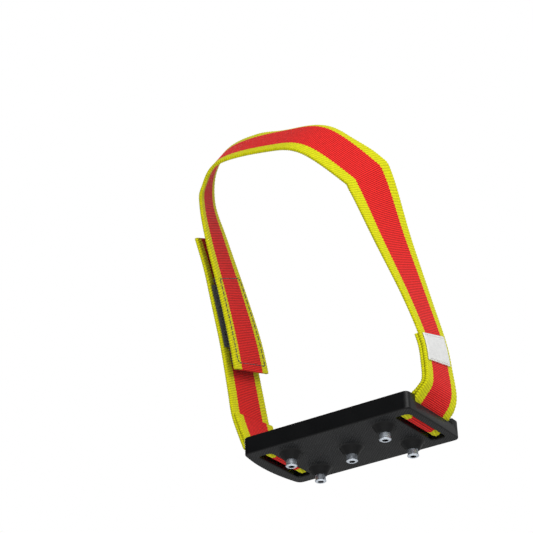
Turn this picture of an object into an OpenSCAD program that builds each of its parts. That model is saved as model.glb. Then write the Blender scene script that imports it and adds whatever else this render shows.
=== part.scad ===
// Mid-sole ice cleat: a studded plate that a webbing strap holds under the arch of a boot.
// Millimetres. The origin is the centre of the plate's top face, where the sole rests.
// +X points to the outer side of the foot, -Y to the toe and +Z up.

/* [Plate] */
// Length of the plate across the sole, between its end chords
plate_length = 71.5; // [68:0.5:84]
// Width of the plate along the sole
plate_width = 38; // [36:0.5:46]
// Thickness of the plate
plate_thickness = 7; // [6.8:0.1:9]
// Radius of the plate's upright corners
corner_radius = 2; // [1:0.25:3]
// How far the outer end bows outwards
outer_bow = 0.4; // [0.2:0.1:2]
// How far the inner end bows outwards
inner_bow = 2.4; // [0.4:0.1:3]
// Thickness of the wall between each slot and the end chord
end_wall = 3; // [2:0.05:3]
// Height of that wall above the underside, where the strap leaves
end_wall_height = 4.2; // [3.6:0.1:4.4]

/* [Strap slots] */
// Width of each slot, across the strap's bar
slot_width = 5.8; // [5.6:0.1:7]
// Room beside each edge of the webbing in its slot
slot_side_gap = 1; // [0.5:0.1:1.5]
// Radius of the slot's corners
slot_radius = 1.5; // [0.5:0.1:2]
// Diameter of the round bar across each slot
bar_diameter = 2.2; // [1.8:0.1:2.4]
// Depth of the webbing above the underside, inside the slot
loop_recess = 0.8; // [0.8:0.1:1.4]
// Slope at which the outer strap leaves its bar
leg_slope = 46; // [40:1:52]

/* [Studs] */
// Spacing of the corner studs across the sole
stud_spacing_x = 40.8; // [34:0.2:42]
// Spacing of the corner studs along the sole
stud_spacing_y = 20; // [18:0.2:22]
// Height of the moulded cone round each stud
boss_height = 3.2; // [2:0.1:5]
// Diameter of the cone where it meets the plate
boss_base_diameter = 9.2; // [8:0.1:11]
// Diameter of the cone's end
boss_tip_diameter = 5.2; // [4.8:0.1:6]
// Diameter of the stud's body
stud_diameter = 4; // [3.2:0.1:4]
// Diameter of the stud's bevelled rim
stud_rim_diameter = 4.4; // [4.2:0.1:5]
// How far the stud stands out of its cone
stud_reach = 2.6; // [2:0.1:4]
// Height of the bevelled rim
stud_rim_height = 0.8; // [0.8:0.1:1.4]
// Bevel along the rim's edges
stud_bevel = 0.3; // [0.1:0.05:0.35]
// Width across the flats of the hex socket in the tip
socket_flats = 2; // [1.5:0.1:2.5]
// Depth of the hex socket
socket_depth = 1.5; // [1:0.1:2.5]
// Diameter of the threaded insert inside the plate
insert_diameter = 6.4; // [5.4:0.1:7]
// Length of the threaded insert
insert_length = 5; // [3.5:0.1:5.4]
// Depth of the retaining groove round the insert
insert_groove = 0.5; // [0.2:0.1:0.7]
// Plate left under the insert, on the stud's side
insert_cover = 0.6; // [0.4:0.1:1]

/* [Webbing] */
// Width of the webbing
webbing_width = 25.4; // [22:0.1:26]
// Thickness of the webbing
webbing_thickness = 1.3; // [1:0.05:1.4]
// Width of the woven label, across the strap
label_width = 20; // [12:0.2:22]
// Height of the woven label, along the strap
label_height = 11; // [8:0.5:16]
// Thickness of the woven label
label_thickness = 0.5; // [0.3:0.05:0.8]
// How far the strap's returned end runs on above the label
return_reach = 0.5; // [0.5:0.1:4]

/* [Strap loop] */
// Height of the outer shoulder, where the strap turns over the instep
outer_shoulder_height = 88; // [80:1:100]
// Height of the strap's middle over the instep
instep_height = 111; // [105:1:120]
// Height of the inner shoulder
inner_shoulder_height = 98; // [90:1:104]
// How far the strap leans towards the toe over the instep
forward_lean = 40; // [30:1:45]

/* [Closure] */
// Width of the hook and loop patches
patch_width = 23; // [18:0.5:24]
// Length of the hook patch
hook_length = 26; // [18:1:30]
// Length of the loop patch
loop_length = 38; // [28:1:40]
// Thickness of the hook patch
hook_thickness = 1.2; // [0.8:0.1:1.6]
// Thickness of the loop patch
loop_thickness = 1.5; // [1:0.1:2]
// Distance of the hook patch from the root of the pull tab
hook_setback = 6; // [2:0.5:8]
// Distance of the loop patch from the end of the tail
loop_setback = 1.5; // [1:0.5:3]
// Height at which the tail of the long strap ends
tail_end_height = 34; // [30:1:40]
// Height at which the pull tab bends away from the short strap
tab_height = 74; // [66:1:78]
// Length of the pull tab
tab_length = 14; // [8:1:18]

/* [Clearances] */
// Gap between the webbing and the bar that it goes round
bar_gap = 0.1; // [0.05:0.05:0.2]
// Gap between two layers of webbing
layer_gap = 0.1; // [0.05:0.05:0.2]
// Gap between the webbing and what is sewn on its face
sewn_gap = 0.05; // [0.02:0.01:0.1]
// Gap between the webbing and the wall that it goes over
wall_gap = 0.25; // [0.15:0.05:0.4]
// Gap between pieces of webbing that fold against each other
fold_gap = 0.3; // [0.2:0.05:0.5]
// Gap between the hooks and the loops when the strap is closed
closure_gap = 0.3; // [0.2:0.05:0.5]
// Room round the stud in its insert and cone
thread_gap = 0.05; // [0.02:0.01:0.1]

/* [Hidden] */
$fn = 48;

// The plate, seen from its own values
end_x = plate_length / 2;
slot_outer_x = end_x - end_wall;
slot_inner_x = slot_outer_x - slot_width;
slot_length = webbing_width + 2 * slot_side_gap;
lip_z = end_wall_height - plate_thickness;
wrap_radius = bar_diameter / 2 + bar_gap + webbing_thickness / 2;
bar_x = slot_inner_x + bar_gap + webbing_thickness / 2 + wrap_radius;
bar_z = loop_recess - plate_thickness + webbing_thickness / 2 + wrap_radius;
arc_steps = 8;
cut_margin = 1;

// The studs and their inserts
boss_end_z = -plate_thickness - boss_height;
insert_low_z = insert_cover - plate_thickness;
stud_places = [
    [stud_spacing_x / 2, -stud_spacing_y / 2],
    [stud_spacing_x / 2, stud_spacing_y / 2],
    [0, 0],
    [-stud_spacing_x / 2, -stud_spacing_y / 2],
    [-stud_spacing_x / 2, stud_spacing_y / 2]
];

// The two layers of each loop, and the fold where the inner strap leaves the plate over its end wall
layer_pitch = webbing_thickness + layer_gap;
lower_leg_z = lip_z + wall_gap + webbing_thickness / 2;
upper_leg_z = lower_leg_z + layer_pitch;
fold_radius = webbing_thickness + layer_gap / 2;
fold_reach = 0.85;
fold_z = (lower_leg_z + upper_leg_z) / 2;
outer_side_x = end_x + outer_bow + fold_reach;
inner_fold_x = end_x + inner_bow + fold_reach;
return_offset = -layer_pitch;

// Place by the outer bar: so far up the strap's slope, and so far out of it towards the end wall
function by_bar(up, out) = [
    bar_x + up * cos(leg_slope) + out * sin(leg_slope),
    0,
    bar_z + up * sin(leg_slope) - out * cos(leg_slope)
];
// Straight slope of the outer strap from its bar to the knee where it folds, and where the loop's legs end
outer_leg = 10;
outer_leg_end = outer_leg - fold_radius - fold_gap;
upper_leg_out = wrap_radius - layer_pitch;
outer_fold = by_bar(outer_leg, wrap_radius - layer_pitch / 2);
// How far the strap starts before the fold's line, and the room above the fold for its twist
fold_lap = 0.2;
knee_gap = 1.1;
knee = by_bar(outer_leg - fold_lap, wrap_radius);
// Depth of the ramp cut in the end wall below that slope, from the bar's middle
ramp_depth = wrap_radius + webbing_thickness / 2 + wall_gap;
// The rounded end of a single layer lies just inside its faces
roll_inset = 0.05;
roll_radius = webbing_thickness / 2 - roll_inset;

// Where a leg of the inner loop bends over the slot's edge, and the angles of each loop's turn round its bar
bend_beyond = 0.6;
bend_inside = 0.75;
bend_drop = 0.35;
turn_step = 20;
inner_turn = [-10, -270];
// Angle from the slope to where the outer loop's upper leg leaves the turn on a tangent
upper_tangent = acos(wrap_radius / norm([outer_leg_end, upper_leg_out])) - atan2(upper_leg_out, outer_leg_end);
outer_turn = [leg_slope - 90, leg_slope + upper_tangent - 360];

// Offsets from a strap's middle surface to what is sewn on it, and from the tail's to the short strap's
label_offset = (webbing_thickness + label_thickness) / 2 + sewn_gap;
loop_offset = (webbing_thickness + loop_thickness) / 2 + sewn_gap;
hook_offset = -(webbing_thickness + hook_thickness) / 2 - sewn_gap;
short_strap_offset = webbing_thickness + loop_thickness + closure_gap + hook_thickness + 2 * sewn_gap;

// Places down the inner side, which the tail and the short strap over it share
outer_shoulder_x = outer_side_x - 6.5;
inner_shoulder_x = -inner_fold_x - 2;
short_x = inner_shoulder_x - short_strap_offset;
function inner_side(x) = [
    [[x - 0.3, -15, 63], [-0.14, 0.9, 0.42]],
    [[x + 0.2, -8, 45], [-0.06, 0.95, 0.32]],
    [[x + 0.5, -3.6, 28], [-0.03, 0.97, 0.24]]
];
// Route of the long strap: places of its middle surface with the direction of its width,
// up the outer side, over the instep and down the inner side
function across(share) = outer_shoulder_x + (inner_shoulder_x - outer_shoulder_x) * share;
long_route = [
    [knee, [0, 1, 0]],
    [knee + [1.95, -0.2, 4.1], [-0.06, 1, 0.1]],
    [[outer_side_x + 2.9, -1.1, 14], [-0.1, 1, 0.23]],
    [[outer_side_x + 2.5, -2.9, 24.5], [-0.11, 0.98, 0.31]],
    [[outer_side_x - 0.3, -7.9, 41.8], [-0.05, 0.95, 0.35]],
    [[outer_side_x - 3.9, -16.3, outer_shoulder_height - 24], [0.1, 0.9, 0.45]],
    [[outer_shoulder_x + 0.3, -25.2, outer_shoulder_height - 3.4], [0.28, 0.76, 0.59]],
    [[across(0.03), -28.8, outer_shoulder_height + 2.6], [0.3, 0.72, 0.63]],
    [[across(0.21), 1.6 - forward_lean, instep_height - 7], [0.26, 0.65, 0.72]],
    [[across(0.45), 0.8 - forward_lean, instep_height - 1.2], [0.1, 0.66, 0.74]],
    [[across(0.77), -0.4 - forward_lean, instep_height + 0.4], [-0.05, 0.67, 0.74]],
    [[across(0.93), 3 - forward_lean, inner_shoulder_height + 8], [-0.17, 0.64, 0.75]],
    [[inner_shoulder_x, -32, inner_shoulder_height], [-0.31, 0.79, 0.53]],
    [[inner_shoulder_x - 0.8, -25, inner_shoulder_height - 13.5], [-0.23, 0.86, 0.45]],
    each inner_side(inner_shoulder_x)
];
// Route of the short strap, from its top end down to the inner fold
short_route = [
    [[short_x - 1.2, -25.5, 88], [-0.2, 0.88, 0.42]],
    [[short_x - 0.6, -19.6, 75], [-0.18, 0.91, 0.37]],
    each inner_side(short_x),
    [[short_x + 1.2, -1.2, 15], [0, 1, 0.1]],
    [[-inner_fold_x - 3, -0.2, fold_z + 7], [0, 1, 0.05]],
    [[-inner_fold_x - 0.7, 0, fold_z - 0.2], [0, 1, 0]]
];

// Where each piece starts and ends along its route, counted in places of that route
label_middle = 2.7;
outer_shoulder_place = 7;
inner_shoulder_place = 12;
tail_low_place = len(long_route) - 1;
short_return_top = 5;
short_fold_place = len(short_route) - 1;
steps_per_place = 4;
slope_step = 0.05;
length_steps = 24;
search_turns = 20;

function unit(v) = v / norm(v);
function held(list, i) = list[max(0, min(len(list) - 1, i))];

// Smooth curve through four values, at share t between the second and the third
function curve(a, b, c, d, t) =
    b + ((c - a) * t + (2 * a - 5 * b + 4 * c - d) * t * t + (3 * b - a - 3 * c + d) * t * t * t) / 2;

// Middle and width direction of a route at place s
function station(route, s) =
    let (
        i = min(floor(s), len(route) - 2),
        p = [for (k = [-1:2]) held(route, i + k)]
    )
    [for (k = [0, 1]) curve(p[0][k], p[1][k], p[2][k], p[3][k], s - i)];

// Middle of a strip, the vector across it and the unit vector out of its face.
// A section may lie askew, as along the crease of a knee, and is longer there so that the strip keeps its width.
function frame(middle, width, run) =
    let (t = unit(run), square = width - (width * t) * t)
    [middle, width / norm(square), unit(cross(width, t))];

// Frame of a route at place s
function frame_at(route, s) =
    let (
        here = station(route, s),
        run = station(route, s + slope_step)[0] - station(route, s - slope_step)[0]
    )
    frame(here[0], here[1], run);

// Frames along a route that hold each of the given places, with even steps between them
function frames_through(route, stops) =
    concat(
        [
            for (i = [1:len(stops) - 1])
                let (from = stops[i - 1], to = stops[i], steps = ceil(abs(to - from) * steps_per_place))
                for (k = [0:steps - 1])
                    frame_at(route, from + (to - from) * k / steps)
        ],
        [frame_at(route, stops[len(stops) - 1])]
    );

// Length of a route between two places
function sum_to(list, i) = i < 0 ? 0 : list[i] + sum_to(list, i - 1);
function run_length(route, from, to) =
    let (p = [for (k = [0:length_steps]) station(route, from + (to - from) * k / length_steps)[0]])
    sum_to([for (k = [1:length_steps]) norm(p[k] - p[k - 1])], length_steps - 1);

// Place that lies a given length beyond a place, towards the next ones for a positive length
function place_beyond(route, from, length) =
    place_within(route, from, abs(length), from, length > 0 ? len(route) - 1 : 0, search_turns);
function place_within(route, from, length, near, far, turns) =
    let (middle = (near + far) / 2)
    turns == 0 ? middle :
    run_length(route, from, middle) > length ? place_within(route, from, length, near, middle, turns - 1)
                                             : place_within(route, from, length, middle, far, turns - 1);

// Place at which a route has a given height, between two places
function place_at_height(route, z, low, high, turns = search_turns) =
    turns == 0 ? (low + high) / 2 :
    let (
        middle = (low + high) / 2,
        rises = station(route, high)[0][2] > station(route, low)[0][2],
        above = station(route, middle)[0][2] > z
    )
    above == rises ? place_at_height(route, z, low, middle, turns - 1)
                   : place_at_height(route, z, middle, high, turns - 1);

tail_end_place = place_at_height(long_route, tail_end_height, inner_shoulder_place, tail_low_place);
tail_start_place = place_beyond(long_route, inner_shoulder_place, webbing_thickness / 2 + fold_gap);
instep_end_place = place_beyond(long_route, inner_shoulder_place, -fold_gap);
tab_place = place_at_height(short_route, tab_height, 0, short_fold_place);
tab_start_place = place_beyond(short_route, tab_place, -webbing_thickness / 2 - fold_gap);
tab_end_place = place_beyond(short_route, tab_place, -tab_length);
hook_start_place = place_beyond(short_route, tab_place, hook_setback);
hook_end_place = place_beyond(short_route, hook_start_place, hook_length);
loop_end_place = place_beyond(long_route, tail_end_place, -loop_setback);
loop_start_place = place_beyond(long_route, loop_end_place, -loop_length);
label_low_place = place_beyond(long_route, label_middle, -label_height / 2);
label_high_place = place_beyond(long_route, label_middle, label_height / 2);
return_top_place = place_beyond(long_route, label_high_place, return_reach);
return_start_place = place_beyond(long_route, 0, fold_lap + fold_radius + knee_gap);
short_return_end_place = place_beyond(short_route, short_fold_place, -fold_radius - fold_gap);

// A strip of webbing swept along frames: a rectangle, width by thickness, offset out of the face.
// Both faces are split along the same diagonals, so that layers lie parallel where the strap twists.
module strip(frames, width, thickness, offset = 0) {
    count = len(frames);
    corners = [[-1, -1], [1, -1], [1, 1], [-1, 1]];
    points = [
        for (f = frames)
            for (c = corners)
                f[0] + f[1] * c[0] * width / 2 + f[2] * (offset + c[1] * thickness / 2)
    ];
    sides = [
        for (i = [0:count - 2])
            for (j = [0:3])
                let (a = 4 * i + j, b = 4 * i + (j + 1) % 4)
                each j < 2 ? [[b, b + 4, a + 4], [b, a + 4, a]] : [[a, b, b + 4], [a, b + 4, a + 4]]
    ];
    last = 4 * (count - 1);
    caps = [[2, 1, 0], [3, 2, 0], [last, last + 1, last + 2], [last, last + 2, last + 3]];
    polyhedron(points, concat(sides, caps));
}

// A rounded fold of webbing round a line across the strap
module fold_roll(middle, width, radius) {
    side = unit(width);
    translate(middle)
        rotate([0, acos(side[2]), atan2(side[1], side[0])])
            cylinder(r = radius, h = webbing_width, center = true);
}

// Outline with rounded corners whose ends bow outwards, as points along arcs
function corner_arc(centre, radius, from) =
    [for (k = [0:arc_steps]) centre + radius * [cos(from + 90 * k / arc_steps), sin(from + 90 * k / arc_steps)]];
function bow_at(y, bow) = bow * (1 - pow(2 * y / plate_width, 2));
function bowed_end(side, bow) =
    [for (p = side) [p[0] + sign(p[0]) * bow_at(p[1], bow), p[1]]];
function end_points() =
    let (x = end_x - corner_radius, y = plate_width / 2 - corner_radius)
    concat(
        corner_arc([x, -y], corner_radius, -90),
        [for (k = [1:arc_steps - 1]) [end_x, -y + 2 * y * k / arc_steps]],
        corner_arc([x, y], corner_radius, 0)
    );

module plate_outline() {
    outer = bowed_end(end_points(), outer_bow);
    inner = bowed_end([for (p = end_points()) -p], inner_bow);
    polygon(concat(outer, inner));
}

// Rectangle with round corners
module round_rectangle(length, width, radius) {
    x = length / 2 - radius;
    y = width / 2 - radius;
    polygon(concat(
        corner_arc([x, y], radius, 0), corner_arc([-x, y], radius, 90),
        corner_arc([-x, -y], radius, 180), corner_arc([x, -y], radius, 270)
    ));
}

// Space of one slot, with the notch through which the strap leaves over the end wall and a ramp up to it
module slot_space() {
    translate([slot_outer_x - slot_width / 2, 0, -plate_thickness - cut_margin])
        linear_extrude(plate_thickness + 2 * cut_margin)
            round_rectangle(slot_width, slot_length, slot_radius);
    notch_length = end_wall + max(outer_bow, inner_bow) + slot_radius + cut_margin;
    translate([slot_outer_x - slot_radius, -slot_length / 2, lip_z])
        cube([notch_length, slot_length, -lip_z + cut_margin]);
    translate([bar_x, 0, bar_z])
        rotate([0, -leg_slope, 0])
            translate([0, -slot_length / 2, -ramp_depth])
                cube([slot_width + end_wall, slot_length, 2 * ramp_depth]);
}

module slot_bar() {
    translate([bar_x, 0, bar_z])
        rotate([90, 0, 0])
            cylinder(d = bar_diameter, h = slot_length + 2 * cut_margin, center = true);
}

// Both ends of the plate, the outer one as drawn and the inner one turned round
module both_ends() {
    children();
    rotate(180) children();
}

module insert_shape() {
    r = insert_diameter / 2;
    third = insert_length / 3;
    rotate_extrude()
        polygon([
            [0, 0], [r, 0], [r, third], [r - insert_groove, third],
            [r - insert_groove, 2 * third], [r, 2 * third], [r, insert_length], [0, insert_length]
        ]);
}

module sole_plate() {
    color("#2a2b2e")
    difference() {
        union() {
            difference() {
                translate([0, 0, -plate_thickness])
                    linear_extrude(plate_thickness)
                        plate_outline();
                both_ends() slot_space();
            }
            both_ends() slot_bar();
            for (place = stud_places)
                translate([place[0], place[1], boss_end_z])
                    cylinder(d1 = boss_tip_diameter, d2 = boss_base_diameter, h = boss_height);
        }
        for (place = stud_places) {
            translate([place[0], place[1], insert_low_z])
                insert_shape();
            translate([place[0], place[1], boss_end_z - cut_margin])
                cylinder(d = stud_diameter + 2 * thread_gap, h = insert_low_z - boss_end_z + 2 * cut_margin);
        }
    }
}

module stud(place) {
    body_r = stud_diameter / 2;
    rim_r = stud_rim_diameter / 2;
    top = insert_low_z + insert_length - boss_end_z;
    color("#c9d0d8")
    translate([place[0], place[1], boss_end_z])
    difference() {
        rotate_extrude()
            polygon([
                [0, -stud_reach], [rim_r - stud_bevel, -stud_reach], [rim_r, stud_bevel - stud_reach],
                [rim_r, stud_rim_height - stud_bevel - stud_reach], [body_r, stud_rim_height - stud_reach],
                [body_r, top], [0, top]
            ]);
        translate([0, 0, -stud_reach - cut_margin])
            cylinder(d = socket_flats / cos(30), h = socket_depth + cut_margin, $fn = 6);
    }
}

module threaded_insert(place) {
    color("#b9984f")
    translate([place[0], place[1], insert_low_z])
    difference() {
        insert_shape();
        translate([0, 0, -cut_margin])
            cylinder(d = stud_diameter + 2 * thread_gap, h = insert_length + 2 * cut_margin);
    }
}

// Loop of webbing round a bar: the lower leg, the turn between two angles and the upper leg
module anchor_loop(lower_leg, turn, upper_leg) {
    steps = ceil((turn[0] - turn[1]) / turn_step);
    round_bar = [
        for (k = [0:steps])
            let (a = turn[0] + (turn[1] - turn[0]) * k / steps)
            [bar_x + wrap_radius * cos(a), 0, bar_z + wrap_radius * sin(a)]
    ];
    path = concat(lower_leg, round_bar, upper_leg);
    color("#c81e1c")
    strip([for (i = [0:len(path) - 1]) frame(path[i], [0, 1, 0], held(path, i + 1) - held(path, i - 1))],
          webbing_width, webbing_thickness);
}

// Its lower leg follows the strap's slope, and both legs end at the fold
module outer_anchor_loop() {
    anchor_loop(
        [by_bar(outer_leg_end, wrap_radius)],
        outer_turn,
        [by_bar(outer_leg_end, upper_leg_out)]
    );
}

// Its legs lie over the end wall
module inner_anchor_loop() {
    leg_end_x = inner_fold_x - fold_radius - fold_gap;
    lower_leg = [
        [leg_end_x, 0, lower_leg_z],
        [slot_outer_x + bend_beyond, 0, lower_leg_z],
        [slot_outer_x - bend_inside, 0, lower_leg_z - bend_drop]
    ];
    upper_leg = [
        [slot_outer_x - bend_inside, 0, upper_leg_z - bend_drop],
        [slot_outer_x + bend_beyond, 0, upper_leg_z],
        [leg_end_x, 0, upper_leg_z]
    ];
    rotate(180) anchor_loop(lower_leg, inner_turn, upper_leg);
}

module outer_strap_run() {
    stops = [0, return_start_place, label_low_place, label_high_place, return_top_place, outer_shoulder_place];
    color("#dc3230") {
        fold_roll(outer_fold, [0, 1, 0], fold_radius);
        strip(frames_through(long_route, stops), webbing_width, webbing_thickness);
    }
}

module outer_return_end() {
    stops = [return_start_place, label_low_place, label_high_place, return_top_place];
    color("#b81215")
    strip(frames_through(long_route, stops), webbing_width, webbing_thickness, return_offset);
}

module woven_label() {
    stops = [label_low_place, label_high_place];
    color("#eeeeea")
    strip(frames_through(long_route, stops), label_width, label_thickness, label_offset);
}

module instep_strap_run() {
    stops = [outer_shoulder_place, instep_end_place];
    fold = frame_at(long_route, inner_shoulder_place);
    color("#dc3230") {
        strip(frames_through(long_route, stops), webbing_width, webbing_thickness);
        fold_roll(fold[0], fold[1], roll_radius);
    }
}

module strap_tail() {
    stops = [tail_start_place, loop_start_place, loop_end_place, tail_end_place];
    color("#dc3230")
    strip(frames_through(long_route, stops), webbing_width, webbing_thickness);
}

module loop_patch() {
    stops = [loop_start_place, loop_end_place];
    color("#202124")
    strip(frames_through(long_route, stops), patch_width, loop_thickness, loop_offset);
}

module inner_strap_run() {
    stops = [
        tab_place, hook_start_place, hook_end_place,
        short_return_top, short_return_end_place, short_fold_place
    ];
    tab_fold = frame_at(short_route, tab_place);
    color("#dc3230") {
        fold_roll(tab_fold[0], tab_fold[1], roll_radius);
        strip(frames_through(short_route, stops), webbing_width, webbing_thickness);
        fold_roll([-inner_fold_x, 0, fold_z], [0, 1, 0], fold_radius);
    }
}

module inner_return_end() {
    stops = [short_return_top, short_return_end_place];
    color("#b81215")
    strip(frames_through(short_route, stops), webbing_width, webbing_thickness, return_offset);
}

module hook_patch() {
    stops = [hook_start_place, hook_end_place];
    color("#202124")
    strip(frames_through(short_route, stops), patch_width, hook_thickness, hook_offset);
}

module pull_tab() {
    stops = [tab_end_place, tab_start_place];
    color("#dde016")
    strip(frames_through(short_route, stops), webbing_width, webbing_thickness);
}

sole_plate();
stud(stud_places[0]);  // stud_front_outer
stud(stud_places[1]);  // stud_rear_outer
stud(stud_places[2]);  // stud_centre
stud(stud_places[3]);  // stud_front_inner
stud(stud_places[4]);  // stud_rear_inner
threaded_insert(stud_places[0]);  // insert_front_outer
threaded_insert(stud_places[1]);  // insert_rear_outer
threaded_insert(stud_places[2]);  // insert_centre
threaded_insert(stud_places[3]);  // insert_front_inner
threaded_insert(stud_places[4]);  // insert_rear_inner
outer_anchor_loop();
inner_anchor_loop();
outer_strap_run();
outer_return_end();
woven_label();
instep_strap_run();
strap_tail();
loop_patch();
inner_strap_run();
inner_return_end();
hook_patch();
pull_tab();
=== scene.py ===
import math

import bmesh
import bpy
import numpy as np
from mathutils import Matrix, Vector


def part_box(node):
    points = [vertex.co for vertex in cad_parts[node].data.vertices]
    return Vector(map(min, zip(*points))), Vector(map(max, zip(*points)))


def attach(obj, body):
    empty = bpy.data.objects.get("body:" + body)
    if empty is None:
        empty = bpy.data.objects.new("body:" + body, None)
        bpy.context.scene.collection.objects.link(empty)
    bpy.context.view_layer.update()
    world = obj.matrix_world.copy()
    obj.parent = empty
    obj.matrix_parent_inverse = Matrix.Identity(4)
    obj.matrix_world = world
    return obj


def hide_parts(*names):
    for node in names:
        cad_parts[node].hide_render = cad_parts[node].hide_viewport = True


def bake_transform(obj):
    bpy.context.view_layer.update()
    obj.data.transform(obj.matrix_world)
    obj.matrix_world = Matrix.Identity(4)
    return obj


# Looks of a mid-sole ice cleat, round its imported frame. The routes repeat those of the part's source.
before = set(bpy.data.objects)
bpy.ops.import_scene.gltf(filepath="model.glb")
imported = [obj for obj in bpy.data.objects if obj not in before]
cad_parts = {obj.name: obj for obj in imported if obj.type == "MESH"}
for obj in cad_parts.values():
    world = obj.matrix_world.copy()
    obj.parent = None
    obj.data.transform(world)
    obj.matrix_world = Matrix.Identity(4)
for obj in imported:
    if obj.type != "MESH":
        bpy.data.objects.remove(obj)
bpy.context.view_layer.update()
MM = 0.001

# Webbing: fine ribs across its red middle, coarser slanting ones across its borders, and wavy edges
WEBBING_WIDTH = 25.4
WEBBING_THICKNESS = 1.3
HALF_WIDTH = WEBBING_WIDTH / 2
FACE = WEBBING_THICKNESS / 2
WEBBING_EDGE_RADIUS, WEBBING_FACE_POINTS, EDGE_POINTS = 0.3, 29, 3
BORDER_WIDTH, BORDER_BLEND = 4.8, 0.6
RED_RIB_PITCH, RED_RIB_DEPTH = 0.7, 0.09
BORDER_RIB_PITCH, BORDER_RIB_DEPTH, BORDER_SLANT = 1.05, 0.12, 0.25
EDGE_WAVE_DEPTH, EDGE_WAVE_REACH = 0.16, 1.0
RIB_STEP = 0.13
LAYER_GAP, SEWN_GAP = 0.1, 0.05
RETURN_OFFSET = -WEBBING_THICKNESS - LAYER_GAP
# Over the top of the loop the rear border turns down: marks where that starts, is full, eases and ends
CURL_MARKS = (7.0, 7.7, 8.95, 9.6)
CURL_FROM, CURL_DEPTH = 6.3, 1.9

# What is sewn on the webbing
LABEL_WIDTH, LABEL_HEIGHT, LABEL_THICKNESS = 21.0, 11.0, 0.5
LABEL_SHIFT, LABEL_CROWN = -0.8, 0.08
LABEL_SEAM_IN, LABEL_SEAM_ENDS, LABEL_STITCH_PITCH = 0.7, 0.8, 1.6
PATCH_WIDTH, PATCH_SEAM_IN = 23.0, 1.2
HOOK_LENGTH, HOOK_THICKNESS, HOOK_SETBACK, HOOK_TAPE_THICKNESS = 26.0, 1.2, 6.0, 0.5
LOOP_LENGTH, LOOP_THICKNESS, LOOP_SETBACK, LOOP_TAPE_THICKNESS = 38.0, 1.5, 1.5, 0.6
CLOSURE_GAP = 0.3
RETURN_SEAM_FROM, RETURN_SEAM_TO, RETURN_SEAM_IN = 1.5, 8.0, 5.8
BAND_STEP, BAND_EDGE_RADIUS, BAND_FACE_POINTS, CROWN_REACH = 0.4, 0.3, 25, 0.8
STITCH_PITCH, STITCH_RADIUS, STITCH_RISE, STITCH_SINK, STITCH_GAP_SHARE = 2.4, 0.2, 0.16, 0.1, 0.12
STITCH_POINTS, ARCH_POINTS, THREAD_SIDES = 7, 7, 6
# A direction in which no thread runs
ASKEW = (0.31, 0.82, 0.47)
# The pile's loops are thicker and further apart than real ones, which are too fine to show
PILE_PITCH, PILE_MARGINS, PILE_SPREAD, PILE_HEIGHTS = 1.05, (0.8, 0.9), 0.4, (0.55, 0.85)
PILE_ARCH_RADIUS, PILE_ARCH_DIP, PILE_THREAD_RADIUS, PILE_SEED = 0.55, 0.1, 0.11, 7
HOOK_PITCH, HOOK_MARGINS, HOOK_BEND_RADIUS, HOOK_THREAD_RADIUS = 1.3, (1.0, 1.2), 0.28, 0.1

# Plate, bars and studs, read off the frame where a node shows them
STUD_NAMES = ["stud_front_outer", "stud_rear_outer", "stud_centre", "stud_front_inner", "stud_rear_inner"]
STUD_LOW, STUD_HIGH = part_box("stud_centre")
STUD_TIP, STUD_TOP = STUD_LOW[2] / MM, STUD_HIGH[2] / MM
STUD_RIM_RADIUS = (STUD_HIGH[0] - STUD_LOW[0]) / MM / 2
STUD_RADIUS = 2.0
STUD_SIDES, SOCKET_ROWS = 72, 6
SLOT_OUTER_X = 32.75
BAR_X, BAR_Z, WRAP_RADIUS = 29.55, -3.7, 1.85
MERGE_DISTANCE = 0.001
FLAT_WITHIN, SHARP_OVER, SMOOTH_UNDER = math.radians(1), math.radians(35), math.radians(50)
# Rounding of the plate's edges: a radius, and its share at the top, at the floor and at the bosses' tips
EDGE_RADIUS, EDGE_SEGMENTS = 0.6, 3
EDGE_SHARES = {0.0: 0.7, -7.0: 1.0, -10.2: 0.33}

# Straps: where they leave the plate, turn and end
OUTER_LEG, LEG_SLOPE = 10.0, math.radians(46)
LOOP_LEG = OUTER_LEG - 1.2
LOWER_LEG_Z, UPPER_LEG_Z = -1.9, -0.5
FOLD_Z = (LOWER_LEG_Z + UPPER_LEG_Z) / 2
FOLD_REACH = 2.5
OUTER_SIDE_X, INNER_FOLD_X = 37.0, 39.0
OUTER_SHOULDER_X = OUTER_SIDE_X - 6.5
INNER_SHOULDER_X = -INNER_FOLD_X - 2
CLOSURE_THICKNESS = WEBBING_THICKNESS + LOOP_THICKNESS + CLOSURE_GAP + HOOK_THICKNESS + 2 * SEWN_GAP
SHORT_X = INNER_SHOULDER_X - CLOSURE_THICKNESS
OUTER_SHOULDER_HEIGHT, INSTEP_HEIGHT, INNER_SHOULDER_HEIGHT, FORWARD_LEAN = 88.0, 111.0, 98.0, 40.0
TAIL_END_HEIGHT, TAB_HEIGHT, TAB_LENGTH = 34.0, 74.0, 14.0
# How far the outer returned end reaches past the label
RETURN_REACH = 0.5
# Marks number a route's places from 0, and a mark of 2.5 lies halfway between the third place and the fourth
LABEL_MARK, OUTER_SHOULDER_MARK, INNER_SHOULDER_MARK, SHORT_RETURN_MARK = 2.7, 7.0, 12.0, 5.0
KNEE_MARK, LIP_MARK, LIP_JOIN, RETURN_SPARE = 1.0, 0.8, 0.45, 0.8
# Points before a path is spaced evenly, and the spacing
TURN_POINTS, LOOP_POINTS, RETURN_POINTS, SHORT_POINTS, LONG_POINTS = 60, 500, 600, 2000, 3000
PATH_STEP, PATH_SOFTENING = 0.1, 7

# Patterns of the finishes. The plate's grain and the label's threads are coarser than real ones, to show
TOOTH_REACH, TOOTH_BLUR, YARN_WIDTH = 0.16, 0.1, 0.5
GRAIN_PITCH, LABEL_THREAD_PITCH = 0.9, 0.4
# Length of one wave of a wave texture whose scale is 1
WAVE_LENGTH = 0.314

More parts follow.
